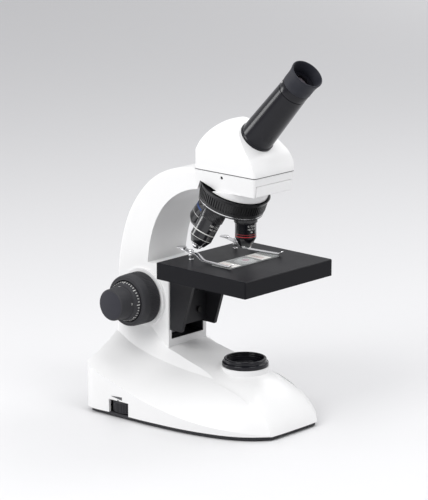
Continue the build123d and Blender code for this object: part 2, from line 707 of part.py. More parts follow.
def objective_frame(angle):
    """Seat of an objective: its shoulder point, its upward direction and a radius direction."""
    a = radians(angle)
    tilt = radians(TURRET_TILT)
    lean = TURRET_FRONT * cos(a) + Vector(1, 0, 0) * sin(a)
    down = TURRET_DOWN * cos(tilt) + lean * sin(tilt)
    across = (Vector(1, 0, 0) * cos(a) - TURRET_FRONT * sin(a)).normalized()
    return APEX + down * SEAT_DISTANCE, down * -1, across


def objective_turned(angle, outline):
    """Solid of revolution on an objective's axis; heights are above the shoulder."""
    seat, up, across = objective_frame(angle)
    plane = Plane(origin=seat, x_dir=across, z_dir=across.cross(up))
    return turned(plane, Axis(seat, up), outline)


SEAT_ANGLES = (0, 90, 180, 270)
with BuildPart() as turret_plate:
    add(turned(TURRET, TURRET_AXIS, [(4.0, 52), (4.0, 66.4), (8.3, 66.4), (8.3, 69.4), (10, 69.3),
                                     (SEAT_R, SEAT_LEVEL), (35.2, 60.3), (35.2, 58.8), (33.6, 58.8),
                                     (33.6, 42.2), (31, 42.2), (31, 50), (24, 52)]))
    for angle in SEAT_ANGLES:
        add(objective_turned(angle, [(0, 0), (12.4, 0), (12.4, 1.5), (0, 1.5)]))
    for angle in SEAT_ANGLES:
        add(objective_turned(angle, [(0, -1), (10.16, -1), (10.16, 16), (0, 16)]), mode=Mode.SUBTRACT)
    add(turned(TURRET, TURRET_AXIS, [(0, 40), (4.0, 40), (4.0, 66.4), (8.3, 66.4), (8.3, 75), (0, 75)]),
        mode=Mode.SUBTRACT)
save(turret_plate, "turret_plate")

# For each objective: seat angle, outer outline (radius, height) down from the shoulder,
# coloured band (radius, upper and lower height), nose outline, radius of the front lens.
OBJECTIVES = {
    "objective_4x": (0, [(12.4, 0), (12.4, -3.4), (11.3, -3.9), (11.3, -20.2), (6.6, -28.6)],
                     (11.5, -16.6, -19.4), [(6.6, -28.6), (5.6, -31.0)], 4.0),
    "objective_10x": (90, [(12.4, 0), (12.4, -3.4), (11.3, -3.9), (11.3, -24.0), (8.6, -28.0), (6.0, -35.5)],
                      (11.5, -18.0, -20.5), [(6.0, -35.5), (4.4, -38.4)], 2.6),
    "objective_40x": (180, [(12.6, 0), (12.6, -3.4), (11.7, -3.9), (11.7, -33.0), (10.6, -36.0), (7.4, -40.6)],
                      (11.9, -19.0, -25.0), [(7.4, -40.6), (3.4, -44.2)], 1.6),
    "objective_100x": (270, [(13.0, 0), (13.0, -8.6), (12.0, -9.2), (12.0, -31.5), (8.2, -38.4)],
                       (12.2, -23.6, -24.8), [(8.2, -38.4), (5.6, -40.4), (5.2, -42.2), (2.4, -44.2)], 1.0),
}
THREAD_R = 10.1
THREAD_LENGTH = 4.4
BORE_R = 4.4

for name, (angle, outline, band, nose, lens_r) in OBJECTIVES.items():
    nose_top = nose[0]
    collar = [(BORE_R, THREAD_LENGTH), (THREAD_R, THREAD_LENGTH), (THREAD_R, 0)]
    with BuildPart() as barrel:
        add(objective_turned(angle, collar + outline + [(BORE_R, nose_top[1])]))
    save(barrel, name)

with BuildPart() as objective_bands:
    for angle, outline, band, nose, lens_r in OBJECTIVES.values():
        radius, high, low = band
        inner = outline[3][0]
        add(objective_turned(angle, [(inner, high), (radius, high), (radius, low), (inner, low)]))
save(objective_bands, "objective_bands")

with BuildPart() as objective_noses:
    for angle, outline, band, nose, lens_r in OBJECTIVES.values():
        add(objective_turned(angle, [(lens_r, nose[0][1])] + nose + [(lens_r, nose[-1][1])]))
save(objective_noses, "objective_noses")

with BuildPart() as objective_lenses:
    for angle, outline, band, nose, lens_r in OBJECTIVES.values():
        tip = nose[-1][1]
        add(objective_turned(angle, [(0, tip + 1.8), (lens_r, tip + 1.8), (lens_r, tip + 0.3), (0, tip + 0.2)]))
save(objective_lenses, "objective_lenses")

# ---------------------------------------------------------------- head
HEAD_REAR = [(44.5, 284.0), (43.3, 292.5), (40.0, 301.0), (35.0, 309.3),
             (27.5, 317.8), (18.0, 324.4), (5.0, 328.4)]
HEAD_DOME = [(31.5, 286.0), (31.0, 292.0), (29.0, 300.5), (25.2, 309.0),
             (18.5, 317.8), (10.5, 324.6), (0.0, 328.4)]
HEAD_NOSE = [(-27.0, 297.9), (-33.6, 291.0), (-38.4, 282.4), (-40.5, HEAD_Z)]
HEAD_CORNER = 3.6


def head_profile(inset):
    """The head seen from the side: domed back, sloping face square to the eyetube, curved nose."""
    rear = [(y - inset, z - (0 if i == 0 else inset)) for i, (y, z) in enumerate(HEAD_REAR)]
    nose = [(y + inset, z - inset * (z > HEAD_Z) / 2) for y, z in HEAD_NOSE]
    with BuildPart() as profile:
        with BuildSketch(side(0)):
            with BuildLine():
                Line((rear[0][0], HEAD_Z), rear[0])
                Spline(*rear)
                Line(rear[-1], nose[0])
                Spline(*nose, tangents=[(-1, -tan(radians(90 - TUBE_ANGLE))), (0, -1)])
                Line(nose[-1], (rear[0][0], HEAD_Z))
            make_face()
        extrude(amount=60, both=True)
    return profile.part


def head_dome(inset):
    """The head seen from the front: upright cheeks under a dome."""
    right = [(x - (inset if x else 0), z - (0 if x == HEAD_HALF else inset)) for x, z in HEAD_DOME]
    left = [(-x, z) for x, z in reversed(right)]
    with BuildPart() as dome:
        with BuildSketch(front(60)):
            with BuildLine():
                Line((HEAD_HALF - inset, HEAD_Z), right[0])
                Spline(*right, *left[1:])
                Polyline(left[-1], (-HEAD_HALF + inset, HEAD_Z), (HEAD_HALF - inset, HEAD_Z))
            make_face()
        extrude(amount=120)
    return dome.part


def head_block(inset):
    """Solid with the outer form of the head: side profile, front profile and plan together."""
    with BuildPart() as block:
        with BuildSketch(level(HEAD_Z)):
            with Locations((0, 2)):
                RectangleRounded(2 * (HEAD_HALF - inset), 85 - 2 * inset, HEAD_CORNER - inset)
        extrude(amount=80)
        add(head_profile(inset), mode=Mode.INTERSECT)
        add(head_dome(inset), mode=Mode.INTERSECT)
    return block.part


with BuildPart() as head_housing:
    add(head_block(0))
    add(head_block(WALL), mode=Mode.SUBTRACT)
    with BuildSketch(level(HEAD_Z)):
        with Locations((0, 2)):
            RectangleRounded(2 * HEAD_HALF - 2, 83, HEAD_CORNER - 1)
        Circle(15, mode=Mode.SUBTRACT)
    extrude(amount=WALL)
    add(turned(TUBE, TUBE_AXIS, [(0, 5), (14.0, 5), (14.0, 21.9), (19.0, 21.9), (19.0, 45), (0, 45)]),
        mode=Mode.SUBTRACT)
save(head_housing, "head_housing")

with BuildPart() as head_flange:
    add(turned(OPTICAL, OPTICAL_AXIS, [(11, 267.2), (19.2, 267.2), (20.0, 268.4), (20.0, HEAD_Z), (14.9, HEAD_Z),
                                       (14.9, 276.8), (11, 276.8)]))
save(head_flange, "head_flange")

with BuildPart() as prism_holder:
    with BuildSketch(level(276.9)):
        Rectangle(34, 34)
        Circle(10, mode=Mode.SUBTRACT)
    extrude(amount=2.6)
    for x, way in ((13, 1), (-13, -1)):
        with BuildSketch(side(x)):
            with BuildLine():
                Polyline((-11, 279.5), (14, 279.5), (14, 300), (4, 303), (-11, 288), close=True)
            make_face()
        extrude(amount=3 * way)
save(prism_holder, "prism_holder")

with BuildPart() as head_prism:
    with BuildSketch(side(0)):
        with BuildLine():
            Polyline((-9, 281), (11, 281), (11, 297), (3, 301), (-9, 289), close=True)
        make_face()
    extrude(amount=12.9, both=True)
save(head_prism, "head_prism")

TUBE_TOP = 94.0
with BuildPart() as eyetube:
    add(turned(TUBE, TUBE_AXIS, [(11.65, 12), (13.95, 12), (13.95, 21.9), (18.9, 21.9), (18.9, 24.4),
                                 (18.1, 25.4), (15.9, TUBE_TOP), (11.65, TUBE_TOP)]))
save(eyetube, "eyetube")

with BuildPart() as eyepiece_barrel:
    add(turned(TUBE, TUBE_AXIS, [(9.6, 62), (11.6, 62), (11.6, TUBE_TOP + GAP), (14.0, TUBE_TOP + GAP),
                                 (14.0, 112.0), (8.5, 112.0), (8.5, 110.5), (9.6, 110.5)]))
save(eyepiece_barrel, "eyepiece_barrel")

with BuildPart() as eyecup:
    with BuildSketch(TUBE):
        with BuildLine():
            Polyline((14.0, TUBE_TOP + GAP), (15.9, TUBE_TOP + GAP), (16.0, 112.0))
            Spline((16.0, 112.0), (16.5, 117.5), (17.7, 123.2))
            Polyline((17.7, 123.2), (16.4, 123.4))
            Spline((16.4, 123.4), (15.0, 118.0), (14.0, 112.0))
            Line((14.0, 112.0), (14.0, TUBE_TOP + GAP))
        make_face()
    revolve(axis=TUBE_AXIS)
save(eyecup, "eyecup")

with BuildPart() as eye_lens:
    add(lens(TUBE_ROOT + TUBE_DIR * 105, TUBE_DIR, 9.6, 3.0, 2.3))
save(eye_lens, "eye_lens")

with BuildPart() as eyepiece_field_lens:
    add(lens(TUBE_ROOT + TUBE_DIR * 67.2, TUBE_DIR * -1, 9.6, 2.0, 2.2))
save(eyepiece_field_lens, "eyepiece_field_lens")
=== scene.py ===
"""A student microscope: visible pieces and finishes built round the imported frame."""

import json
import logging
import math
from collections.abc import Sequence
from dataclasses import dataclass
from enum import Enum

import bpy
from mathutils import Matrix, Vector

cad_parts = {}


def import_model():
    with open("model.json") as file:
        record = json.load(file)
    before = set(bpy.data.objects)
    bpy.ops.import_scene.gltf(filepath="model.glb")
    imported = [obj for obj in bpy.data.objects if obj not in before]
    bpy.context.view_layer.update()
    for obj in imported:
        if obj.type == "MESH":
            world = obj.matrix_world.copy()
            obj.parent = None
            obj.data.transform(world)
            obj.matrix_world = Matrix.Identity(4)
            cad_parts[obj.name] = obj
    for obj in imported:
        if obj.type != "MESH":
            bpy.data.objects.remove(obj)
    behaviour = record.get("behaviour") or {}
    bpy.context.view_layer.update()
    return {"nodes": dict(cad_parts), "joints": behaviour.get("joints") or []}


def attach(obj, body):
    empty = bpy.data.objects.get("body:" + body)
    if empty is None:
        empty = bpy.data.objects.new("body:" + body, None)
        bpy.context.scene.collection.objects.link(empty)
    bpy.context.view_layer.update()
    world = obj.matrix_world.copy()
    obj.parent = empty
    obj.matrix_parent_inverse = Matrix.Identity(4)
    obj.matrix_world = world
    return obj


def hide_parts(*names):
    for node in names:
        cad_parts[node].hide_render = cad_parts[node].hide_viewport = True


MM = 0.001
POLE = 1e-4 * MM
WELD = 2e-3 * MM
PATCH_SCALE = 38.0
PATCH_DETAIL = 6.0
GRAIN_DETAIL = 3.0
COAT_ROUGHNESS = 0.12
SMALLEST_ROUGHNESS = 0.02
LOG = logging.getLogger("microscope")
Outline = Sequence[tuple[float, float]]
Color = tuple[float, float, float]


# ---------------------------------------------------------------- finishes
class Grain(Enum):
    """Size of a surface's fine relief, as features per metre."""

    NONE = 0.0
    MOULDED = 2600.0
    CRACKLE = 1500.0
    TURNED = 5200.0


@dataclass(frozen=True)
class Finish:
    """One surface finish: its look, and how its colour, gloss and relief vary.

    Attributes:
        name: Name of the material.
        color: Linear base colour.
        roughness: Middle of the gloss variation.
        metallic: 1 for bare metal.
        coat: Weight of a clear top layer.
        transmission: 1 for glass.
        grain: Size of the fine relief.
        relief: Height of the fine relief in millimetres.
        mottle: How much darker the colour gets in patches, 0 to 1.
        gloss_spread: How far the roughness wanders either way.
        stretch: Scale of the relief along x, y and z, for brushed or turned metal.
        sheen: Soft glow of rubber or dusty plastic.
        specular: Strength of the surface reflection, 0.5 being ordinary.
    """

    name: str
    color: Color
    roughness: float
    metallic: float = 0.0
    coat: float = 0.0
    transmission: float = 0.0
    grain: Grain = Grain.MOULDED
    relief: float = 0.02
    mottle: float = 0.06
    gloss_spread: float = 0.05
    stretch: tuple[float, float, float] = (1.0, 1.0, 1.0)
    sheen: float = 0.0
    specular: float = 0.5

    def material(self) -> bpy.types.Material:
        """Return the Blender material of this finish, making it on first use."""
        if self.name in bpy.data.materials:
            return bpy.data.materials[self.name]
        material = bpy.data.materials.new(self.name)
        material.use_nodes = True
        nodes = material.node_tree.nodes
        links = material.node_tree.links
        shader = nodes["Principled BSDF"]
        shader.inputs["Metallic"].default_value = self.metallic
        shader.inputs["Coat Weight"].default_value = self.coat
        shader.inputs["Coat Roughness"].default_value = COAT_ROUGHNESS
        shader.inputs["Transmission Weight"].default_value = self.transmission
        shader.inputs["Sheen Weight"].default_value = self.sheen
        shader.inputs["Specular IOR Level"].default_value = self.specular
        place = nodes.new("ShaderNodeTexCoord")
        patches = nodes.new("ShaderNodeTexNoise")
        patches.inputs["Scale"].default_value = PATCH_SCALE
        patches.inputs["Detail"].default_value = PATCH_DETAIL
        links.new(place.outputs["Object"], patches.inputs["Vector"])
        tint = nodes.new("ShaderNodeMix")
        tint.data_type = "RGBA"
        darker = [channel * (1.0 - self.mottle) for channel in self.color]
        lighter = [min(1.0, channel * (1.0 + self.mottle)) for channel in self.color]
        tint.inputs["A"].default_value = (*darker, 1.0)
        tint.inputs["B"].default_value = (*lighter, 1.0)
        links.new(patches.outputs["Fac"], tint.inputs["Factor"])
        links.new(tint.outputs["Result"], shader.inputs["Base Color"])
        gloss = nodes.new("ShaderNodeMapRange")
        gloss.inputs["To Min"].default_value = max(SMALLEST_ROUGHNESS, self.roughness - self.gloss_spread)
        gloss.inputs["To Max"].default_value = self.roughness + self.gloss_spread
        links.new(patches.outputs["Fac"], gloss.inputs["Value"])
        links.new(gloss.outputs["Result"], shader.inputs["Roughness"])
        if self.grain is not Grain.NONE:
            along = nodes.new("ShaderNodeMapping")
            along.inputs["Scale"].default_value = self.stretch
            fine = nodes.new("ShaderNodeTexNoise")
            fine.inputs["Scale"].default_value = self.grain.value
            fine.inputs["Detail"].default_value = GRAIN_DETAIL
            bump = nodes.new("ShaderNodeBump")
            bump.inputs["Distance"].default_value = self.relief * MM
            links.new(place.outputs["Object"], along.inputs["Vector"])
            links.new(along.outputs["Vector"], fine.inputs["Vector"])
            links.new(fine.outputs["Fac"], bump.inputs["Height"])
            links.new(bump.outputs["Normal"], shader.inputs["Normal"])
        return material


WHITE = Finish("white_lacquer", (0.80, 0.80, 0.797), 0.36, coat=0.15, relief=0.006, mottle=0.012)
BLACK_PAINT = Finish("black_crackle", (0.006, 0.006, 0.008), 0.38, grain=Grain.CRACKLE, relief=0.014,
                     specular=0.12)
BLACK_BRACKET = Finish("black_casting", (0.008, 0.008, 0.010), 0.5, grain=Grain.CRACKLE, relief=0.04,
                       specular=0.35)
BLACK_PLASTIC = Finish("black_plastic", (0.003, 0.003, 0.004), 0.24, relief=0.004, specular=0.18)
SLATE_CAP = Finish("slate_cap", (0.030, 0.030, 0.038), 0.55, specular=0.2, relief=0.02, mottle=0.08)
TUBE_BLACK = Finish("tube_black", (0.006, 0.006, 0.009), 0.20, specular=0.3, relief=0.008, mottle=0.05)
RUBBER = Finish("slate_rubber", (0.014, 0.015, 0.022), 0.55, relief=0.03, mottle=0.12, sheen=0.05,
                specular=0.25)
BLACK_SCREW = Finish("blackened_screw", (0.02, 0.02, 0.02), 0.4, metallic=0.6, relief=0.01)
FOOT_RUBBER = Finish("foot_rubber", (0.02, 0.02, 0.02), 0.8, relief=0.04, mottle=0.1)
ANODISED = Finish("black_anodised", (0.008, 0.008, 0.009), 0.36, grain=Grain.TURNED, relief=0.006)
LACQUER_BLACK = Finish("gloss_black", (0.005, 0.005, 0.007), 0.2, coat=0.4, grain=Grain.TURNED,
                       relief=0.003, gloss_spread=0.03)
CHROME = Finish("chrome", (0.86, 0.86, 0.87), 0.2, metallic=1.0, grain=Grain.TURNED, relief=0.003,
                gloss_spread=0.05, mottle=0.03)
STEEL = Finish("ground_steel", (0.52, 0.53, 0.55), 0.32, metallic=1.0, grain=Grain.TURNED, relief=0.01,
               stretch=(0.1, 0.1, 1.0))
BRONZE = Finish("bronze", (0.55, 0.36, 0.16), 0.34, metallic=1.0, grain=Grain.TURNED, relief=0.008)
RED_INK = Finish("red_enamel", (0.42, 0.012, 0.016), 0.3, grain=Grain.NONE)
YELLOW_INK = Finish("yellow_enamel", (0.75, 0.50, 0.02), 0.3, grain=Grain.NONE)
BLUE_INK = Finish("blue_enamel", (0.012, 0.055, 0.22), 0.3, grain=Grain.NONE)
WHITE_INK = Finish("white_enamel", (0.62, 0.62, 0.60), 0.35, grain=Grain.NONE)
GREY_PRINT = Finish("grey_print", (0.075, 0.075, 0.08), 0.5, grain=Grain.NONE)
PAPER = Finish("label_paper", (0.78, 0.77, 0.74), 0.75, relief=0.02, mottle=0.05)
SPECIMEN = Finish("stained_specimen", (0.34, 0.10, 0.18), 0.6, mottle=0.6, grain=Grain.NONE)
SLIDE_GLASS = Finish("slide_glass", (0.93, 0.96, 0.95), 0.05, transmission=1.0, grain=Grain.NONE,
                     mottle=0.0, gloss_spread=0.02)
COATED_GLASS = Finish("coated_glass", (0.62, 0.55, 0.62), 0.05, transmission=0.85, grain=Grain.NONE,
                      gloss_spread=0.02)
DARK_LENS = Finish("dark_lens", (0.05, 0.05, 0.055), 0.14, transmission=0.5, grain=Grain.NONE)
BOARD = Finish("solder_mask", (0.02, 0.12, 0.05), 0.4, mottle=0.3)


# ---------------------------------------------------------------- modelling kit
def start_clean() -> None:
    """Leave edit mode and deselect every object."""
    if bpy.context.object and bpy.context.object.mode != "OBJECT":
        bpy.ops.object.mode_set(mode="OBJECT")
    bpy.ops.object.select_all(action="DESELECT")


def activate(piece: bpy.types.Object) -> None:
    """Make a piece the only selected and the active object."""
    start_clean()
    piece.select_set(True)
    bpy.context.view_layer.objects.active = piece


def settle(piece: bpy.types.Object, place: Matrix) -> None:
    """Bake a place into a piece's mesh, so that its object sits at the origin."""
    activate(piece)
    piece.matrix_world = place @ piece.matrix_world
    bpy.ops.object.transform_apply(location=True, rotation=True, scale=True)


def soften(piece: bpy.types.Object, width: float, steps: int = 2, angle: float = 28.0) -> None:
    """Round a piece's hard edges and shade the rest smooth.

    Args:
        piece: The mesh to work on.
        width: Width of the rounding in millimetres.
        steps: Faces across a rounding.
        angle: Edges sharper than this, in degrees, are rounded.
    """
    activate(piece)
    bevel = piece.modifiers.new("edges", "BEVEL")
    bevel.width = width * MM
    bevel.segments = steps
    bevel.limit_method = "ANGLE"
    bevel.angle_limit = math.radians(angle)
    bevel.harden_normals = False
    bpy.ops.object.modifier_apply(modifier=bevel.name)
    bpy.ops.object.shade_smooth_by_angle(angle=math.radians(40))


def choose_faces(piece: bpy.types.Object, wanted: list[int]) -> None:
    """Enter edit mode with just these faces selected."""
    activate(piece)
    bpy.ops.object.mode_set(mode="EDIT")
    bpy.ops.mesh.select_mode(type="FACE")
    bpy.ops.mesh.select_all(action="DESELECT")
    bpy.ops.object.mode_set(mode="OBJECT")
    for index in wanted:
        piece.data.polygons[index].select = True
    bpy.ops.object.mode_set(mode="EDIT")


def lathe(name: str, outline: Outline, segments: int = 96, closed: bool = True) -> bpy.types.Object:
    """Turn an outline about the z axis: a circle extruded and resized from point to point.

    Args:
        name: Name of the piece.
        outline: (radius, height) points in millimetres; radius 0 makes a pole.
        segments: Faces round the piece.
        closed: Whether the last point joins the first.

    Returns:
        The new piece, still on the z axis.
    """
    start_clean()
    rings = [(max(radius * MM, POLE), height * MM) for radius, height in outline]
    bpy.ops.mesh.primitive_circle_add(vertices=segments, radius=rings[0][0], location=(0, 0, rings[0][1]))
    piece = bpy.context.object
    piece.name = piece.data.name = name
    bpy.ops.object.transform_apply(location=True)
    bpy.ops.object.mode_set(mode="EDIT")
    bpy.ops.mesh.select_all(action="SELECT")
    for (radius, height), (next_radius, next_height) in zip(rings, rings[1:] + rings[: 1 if closed else 0]):
        bpy.ops.mesh.extrude_edges_move(TRANSFORM_OT_translate={"value": (0, 0, next_height - height)})
        scale = next_radius / radius
        bpy.ops.transform.resize(value=(scale, scale, 1), center_override=(0, 0, next_height))
    bpy.ops.mesh.select_all(action="SELECT")
    bpy.ops.mesh.remove_doubles(threshold=WELD)
    bpy.ops.mesh.normals_make_consistent(inside=False)
    bpy.ops.object.mode_set(mode="OBJECT")
    return piece


def cut_grooves(piece: bpy.types.Object, segments: int, every: int, low: float, high: float,
                radius: float, depth: float) -> None:
    """Sink every n-th column of faces in a band round a turned piece.

    Args:
        piece: A piece from lathe, still on the z axis.
        segments: Faces round the piece.
        every: One column in this many is sunk.
        low: Lower end of the band in millimetres.
        high: Upper end of the band in millimetres.
        radius: Faces nearer to the axis than this, in millimetres, are left alone.
        depth: Depth of a groove in millimetres.
    """
    wanted = []
    for face in piece.data.polygons:
        x, y, z = face.center / MM
        column = int(math.floor(math.atan2(y, x) % math.tau / math.tau * segments))
        in_band = low <= z <= high and math.hypot(x, y) > radius
        upright = abs(face.normal.z) < 0.5
        if in_band and upright and column % every == 0:
            wanted.append(face.index)
    choose_faces(piece, wanted)
    bpy.ops.mesh.inset(thickness=0.12 * depth * MM, depth=-depth * MM, use_individual=True)
    bpy.ops.object.mode_set(mode="OBJECT")
    LOG.info("%s: %d grooves", piece.name, len(wanted))


def ring_of_copies(piece: bpy.types.Object, count: int, sweep: float = 360.0) -> None:
    """Repeat a piece round the z axis in its own mesh.

    Args:
        piece: The first copy, in its place.
        count: Copies in all.
        sweep: Angle they are spread over, in degrees.
    """
    activate(piece)
    bpy.ops.object.mode_set(mode="EDIT")
    bpy.ops.mesh.select_all(action="SELECT")
    full = abs(sweep) >= 360.0
    steps = count if full else count - 1
    bpy.ops.mesh.spin(steps=steps, dupli=True, angle=math.radians(sweep), center=(0, 0, 0), axis=(0, 0, 1))
    bpy.ops.mesh.select_all(action="SELECT")
    bpy.ops.mesh.remove_doubles(threshold=WELD)
    bpy.ops.object.mode_set(mode="OBJECT")


def bar(name: str, size: tuple[float, float, float], centre: tuple[float, float, float]) -> bpy.types.Object:
    """Make a small rectangular mark with rounded edges, sizes in millimetres."""
    start_clean()
    bpy.ops.mesh.primitive_cube_add(size=MM, location=[c * MM for c in centre], scale=size)
    piece = bpy.context.object
    piece.name = piece.data.name = name
    bpy.ops.object.transform_apply(location=True, rotation=True, scale=True)
    soften(piece, min(size) * 0.2)
    return piece


def join(name: str, parts: list[bpy.types.Object]) -> bpy.types.Object:
    """Join parts into one piece of that name."""
    activate(parts[0])
    for part in parts:
        part.select_set(True)
    bpy.ops.object.join()
    piece = bpy.context.object
    piece.name = piece.data.name = name
    return piece


def figures(name: str, text: str, height: float, thick: float = 0.06) -> bpy.types.Object:
    """Make a row of figures as a thin mesh, upright in the xy plane and centred on the origin."""
    start_clean()
    bpy.ops.object.text_add()
    piece = bpy.context.object
    piece.data.body = text
    piece.data.size = height * MM * 1.4
    piece.data.extrude = thick * MM / 2
    piece.data.resolution_u = 3
    piece.data.align_x = "CENTER"
    piece.data.align_y = "CENTER"
    bpy.ops.object.convert(target="MESH")
    piece = bpy.context.object
    piece.name = piece.data.name = name
    bpy.ops.object.mode_set(mode="EDIT")
    bpy.ops.mesh.select_all(action="SELECT")
    bpy.ops.mesh.remove_doubles(threshold=WELD)
    bpy.ops.object.mode_set(mode="OBJECT")
    return piece


def wrap(piece: bpy.types.Object, radius: float, height: float, angle: float) -> None:
    """Bend a flat row of figures round the z axis.

    Args:
        piece: A piece from figures.
        radius: Radius of the cylinder in millimetres.
        height: Height of the row's middle in millimetres.
        angle: Angle of the row's middle from +x, in degrees.
    """
    for vertex in piece.data.vertices:
        turn = math.radians(angle) + vertex.co.x / (radius * MM)
        reach = radius * MM + vertex.co.z
        vertex.co = (reach * math.cos(turn), reach * math.sin(turn), height * MM + vertex.co.y)


def frame_on(origin: Vector, axis: Vector, across: Vector = Vector((1, 0, 0))) -> Matrix:
    """Return the place whose z axis is the given one and whose x axis is nearest to another."""
    z = axis.normalized()
    y = z.cross(across).normalized()
    x = y.cross(z)
    return Matrix.Translation(origin) @ Matrix((x, y, z)).transposed().to_4x4()


def wear(piece: bpy.types.Object, finish: Finish) -> None:
    """Give a piece one finish all over."""
    piece.data.materials.clear()
    piece.data.materials.append(finish.material())


def deliver(piece: bpy.types.Object, finish: Finish, body: str, slot: str, *nodes: str) -> None:
    """Dress a finished piece, hang it on its body and hide the frame nodes it stands for.

    Args:
        piece: The piece, with its place in its mesh.
        finish: Its finish.
        body: The moving body that it rides on.
        slot: Name of a material slot in the record; not used.
        nodes: Frame nodes that it replaces, if any.
    """
    wear(piece, finish)
    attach(piece, body)
    if nodes:
        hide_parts(*nodes)
    LOG.info("%s: %d faces on %s", piece.name, len(piece.data.polygons), body)


# ---------------------------------------------------------------- the object
@dataclass
class Datum:
    """Axes of the microscope, read from the frame's joints."""

    joints: dict[str, dict]

    def point(self, joint: str) -> Vector:
        """Point on a joint's axis, in metres."""
        return Vector(self.joints[joint]["pos_m"])

    def direction(self, joint: str) -> Vector:
        """Direction of a joint's axis."""
        return Vector(self.joints[joint]["axis"]).normalized()

    def optical(self) -> Matrix:
        """Place on the optical axis at table height."""
        x, y, _ = self.point("head_turn")
        return Matrix.Translation((x, y, 0))

    def on_joint(self, joint: str, flip: bool = False) -> Matrix:
        """Place on a joint's axis, its z along the axis or, if flipped, against it."""
        axis = self.direction(joint)
        across = Vector((0, 1, 0)) if abs(axis.x) > 0.9 else Vector((1, 0, 0))
        return frame_on(self.point(joint), -axis if flip else axis, across)


@dataclass
class Casings:
    """White castings, the base's black plate and everything that stands still inside.

    Attributes:
        datum: Axes of the microscope.
        nodes: The frame's nodes by name.
        opening_half: Half the width of the column's opening, in millimetres, like every length here.
        opening_depth: Front and back of that opening, behind the optical axis.
        opening_height: Bottom and top of that opening.
        liner: Thickness of the thin black sheets that paint the shade deep inside that opening.
        wall_x: Place of the base's left wall, where the brightness mark is printed.
        wedge_tip: (depth, height) of the printed wedge's sharp end.
        wedge_end: Depth, lower height and upper height of its wide end.
        wedge_lean: How far the wall leans in from one end of the wedge to the other.
        dot_place: (depth, height) of the index dot.
    """

    datum: Datum
    nodes: dict[str, bpy.types.Object]
    opening_half: float = 24.9
    opening_depth: tuple[float, float] = (84.6, 111.8)
    opening_height: tuple[float, float] = (79.1, 151.9)
    liner: float = 0.3
    wall_x: float = -88.75
    wedge_tip: tuple[float, float] = (112.8, 23.6)
    wedge_end: tuple[float, float, float] = (93.6, 20.4, 25.0)
    wedge_lean: float = 1.4
    dot_place: tuple[float, float] = (103.2, 20.3)

    def line_opening(self) -> bpy.types.Object:
        """Paint the shade deep in the carriage's opening in the column with thin black walls."""
        low, high = self.opening_height
        near, far = self.opening_depth
        half = self.opening_half
        middle = ((near + far) / 2, (low + high) / 2)
        inset = self.liner / 2
        walls = [
            bar("wall", (self.liner, far - near, high - low), (-half + inset, *middle)),
            bar("wall", (self.liner, far - near, high - low), (half - inset, *middle)),
            bar("floor", (2 * half, far - near, self.liner), (0, middle[0], low + inset)),
            bar("roof", (2 * half, far - near, self.liner), (0, middle[0], high - inset)),
        ]
        # the thin black walls inside the column's opening are painted shade: they make the deep opening read
        # dark
        opening_shade = join("column_opening_shade", walls)
        settle(opening_shade, self.datum.optical())
        return opening_shade

    def build(self) -> None:
        """Make the lamp's ring, the painted shade in the column's opening and the printed symbol."""
        outside = [(18.8, 61.5), (24.4, 61.5), (24.8, 62.0), (24.8, 65.2), (24.3, 65.9), (23.0, 66.4),
                   (22.7, 66.9), (22.7, 69.2), (22.2, 69.8), (21.3, 70.0), (20.4, 69.9)]
        filter_seat = [(20.0, 69.4), (20.0, 68.6), (20.6, 68.4), (20.6, 67.8), (20.0, 67.6), (20.0, 66.6),
                       (20.6, 66.4), (20.6, 65.8), (20.0, 65.6), (20.0, 64.5)]
        foot = [(16.5, 64.5), (16.5, 59.0), (15.0, 59.0), (15.0, 56.0), (18.8, 56.0)]
        collar = lathe("illuminator_ring", outside + filter_seat + foot, 128)
        soften(collar, 0.25)
        settle(collar, self.datum.optical())
        deliver(collar, TUBE_BLACK, "stand", "black_paint", "illuminator_collar")
        # painted shade: black sheets standing for the dark inside of the column's opening
        deliver(self.line_opening(), BLACK_BRACKET, "stand", "black_paint")
        wedge = self.brightness_symbol()
        deliver(wedge, GREY_PRINT, "stand", "black_plastic")

    def brightness_symbol(self) -> bpy.types.Object:
        """Make the printed wedge and index dot over the brightness wheel, on the base's left wall."""
        start_clean()
        bpy.ops.mesh.primitive_cylinder_add(vertices=3, radius=MM, depth=0.3 * MM)
        wedge = bpy.context.object
        end, low, high = self.wedge_end
        corners = [self.wedge_tip, (end, low), (end, high)]
        length = self.wedge_tip[0] - end
        for vertex in wedge.data.vertices:
            depth, height = corners[vertex.index // 2]
            lift = 0.12 if vertex.co.z > 0 else -0.3
            lean = self.wedge_lean * (self.wedge_tip[0] - depth) / length
            vertex.co = ((self.wall_x + lean - lift) * MM, depth * MM, height * MM)
        activate(wedge)
        bpy.ops.object.mode_set(mode="EDIT")
        bpy.ops.mesh.select_all(action="SELECT")
        bpy.ops.mesh.normals_make_consistent(inside=False)
        bpy.ops.object.mode_set(mode="OBJECT")
        start_clean()
        depth, height = self.dot_place
        bpy.ops.mesh.primitive_uv_sphere_add(segments=16, ring_count=8, radius=0.85 * MM, scale=(0.3, 1, 1),
                                             location=((self.wall_x + 0.4) * MM, depth * MM, height * MM))
        dot = bpy.context.object
        bpy.ops.object.transform_apply(location=True, rotation=True, scale=True)
        symbol = join("brightness_symbol", [wedge, dot])
        settle(symbol, self.datum.optical())
        return symbol

    def dress(self) -> None:
        """Give the carried-over castings their finishes."""
        looks = {
            WHITE: ["base_housing", "arm", "nose_cover", "nosepiece_base"],
            BLACK_PLASTIC: ["bottom_plate", "lamp_holder", "power_inlet"],
            BLACK_BRACKET: ["dovetail_receiver"],
            FOOT_RUBBER: ["feet"],
            BLACK_SCREW: ["head_lock_screw"],
            CHROME: ["base_screws", "turret_pivot"],
            STEEL: ["guide_rail", "detent_spring"],
            BRONZE: ["shaft_bushes"],
            COATED_GLASS: ["collector_lens"],
            DARK_LENS: ["field_lens"],
            BOARD: ["dimmer_board", "led_board"],
        }
        for finish, names in looks.items():
            for name in names:
                wear(self.nodes[name], finish)


